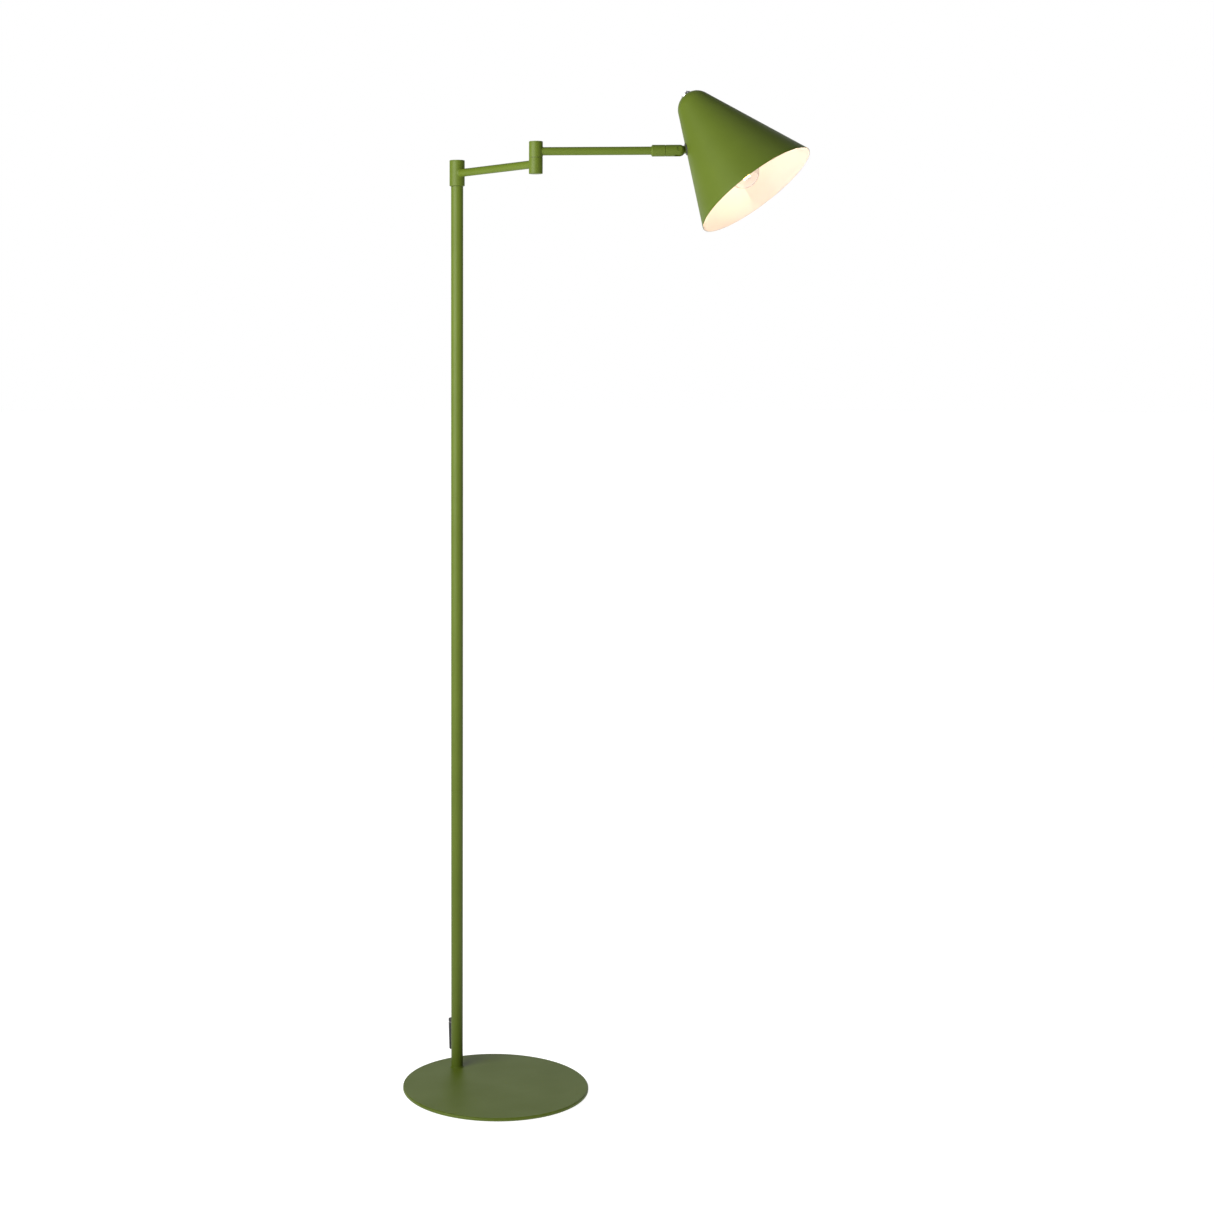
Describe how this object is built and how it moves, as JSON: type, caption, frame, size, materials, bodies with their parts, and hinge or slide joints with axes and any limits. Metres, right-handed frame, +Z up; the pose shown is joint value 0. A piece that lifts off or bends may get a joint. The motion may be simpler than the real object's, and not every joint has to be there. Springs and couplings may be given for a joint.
{
  "type": "adjustable arm floor lamp",
  "caption": "Floor lamp: a flat round foot, an off-centre pole, level arms that swivel on each other, and a domed conical shade that rolls and tilts on a pinned knuckle.",
  "frame": {"origin": "centre of the foot's underside, on the floor", "axes": "+Z up; +X from the pole over the foot, which is the way the inner arm points at rest"},
  "size_m": [0.5084, 0.4523, 1.4687],
  "materials": {
    "green_coat": "satin olive green powder coat",
    "shade_coat": "satin olive green powder coat outside, matte white inside",
    "pad": "thin dark foam pad",
    "steel": "zinc plated",
    "nickel": "bright nickel",
    "brass": "plain",
    "nylon": "dark nylon",
    "olive_nylon": "olive nylon",
    "black_plastic": "satin black",
    "grey_plastic": "satin grey",
    "white_plastic": "satin off-white",
    "lead_sheath": "flexible black sheath",
    "bulb_glass": "clear",
    "filament": "glowing warm coating",
    "bezel_chrome": "bright",
    "rocker_black": "glossy"
  },
  "bodies": {
    "stand": {"base_pad": "pad", "base_plate": "green_coat", "base_washer": "steel", "base_screw": "steel", "pole_foot_ring": "green_coat", "foot_plug": "steel", "pole_lower_tube": "green_coat", "pole_middle_tube": "green_coat", "pole_upper_tube": "green_coat", "pole_lower_joiner": "green_coat", "pole_upper_joiner": "green_coat", "pole_top_plug": "green_coat", "cord_gland": "black_plastic", "gland_ring": "grey_plastic", "gland_cap": "black_plastic", "gland_nut": "steel", "shoulder_thrust_washer": "olive_nylon", "shoulder_nipple": "steel", "shoulder_spring_washer": "steel", "shoulder_nut": "steel", "pole_lead": "lead_sheath"},
    "inner_arm": {"shoulder_sleeve": "green_coat", "shoulder_cap": "green_coat", "inner_arm_tube": "green_coat", "elbow_lower_barrel": "green_coat", "elbow_lower_cap": "green_coat", "elbow_nipple": "steel", "elbow_thrust_washer": "olive_nylon", "elbow_spring_washer": "steel", "elbow_nut": "steel", "inner_arm_lead": "lead_sheath"},
    "outer_arm": {"elbow_upper_barrel": "green_coat", "elbow_upper_cap": "green_coat", "outer_arm_tube": "green_coat", "outer_arm_lead": "lead_sheath", "knuckle_collar": "green_coat", "knuckle_set_screw": "steel"},
    "knuckle": {"knuckle_fork": "green_coat", "knuckle_pin": "green_coat", "knuckle_pin_nut": "green_coat"},
    "shade": {"shade_stem": "green_coat", "stem_bush": "nylon", "stem_washer": "steel", "stem_nut": "steel", "holder_bracket": "steel", "holder_nut": "steel", "holder_nipple": "steel", "lampholder": "white_plastic", "holder_thread_sleeve": "brass", "bulb_cap": "nickel", "bulb_glass": "bulb_glass", "bulb_stem": "bulb_glass", "bulb_support": "nickel", "bulb_filaments": "filament", "switch_bezel": "bezel_chrome", "switch_housing": "black_plastic", "switch_lead": "lead_sheath", "shade_lead": "lead_sheath", "shade_shell": "shade_coat"},
    "switch_rocker": {"switch_rocker": "rocker_black"}
  },
  "joints": [
    {"name": "shoulder_swivel", "type": "hinge", "parent": "stand", "child": "inner_arm", "pos_m": [-0.0992, 0, 1.3664], "axis": [0, 0, 1], "range_deg": [-175, 175]},
    {"name": "elbow_swivel", "type": "hinge", "parent": "inner_arm", "child": "outer_arm", "pos_m": [0.0878, 0, 1.3664], "axis": [0, 0, 1], "range_deg": [-173, 71]},
    {"name": "knuckle_roll", "type": "hinge", "parent": "outer_arm", "child": "knuckle", "pos_m": [0.2136, 0.15535, 1.3839], "axis": [0.6293, 0.7771, 0], "range_deg": [-133, 167]},
    {"name": "shade_tilt", "type": "hinge", "parent": "knuckle", "child": "shade", "pos_m": [0.2136, 0.15535, 1.3839], "axis": [-0.7432, 0.6018, -0.2924], "range_deg": [-65, 85]},
    {"name": "switch_rock", "type": "hinge", "parent": "shade", "child": "switch_rocker", "pos_m": [0.20074, 0.17768, 1.46254], "axis": [-0.7432, 0.6018, -0.2924], "range_deg": [0, 24]}
  ]
}
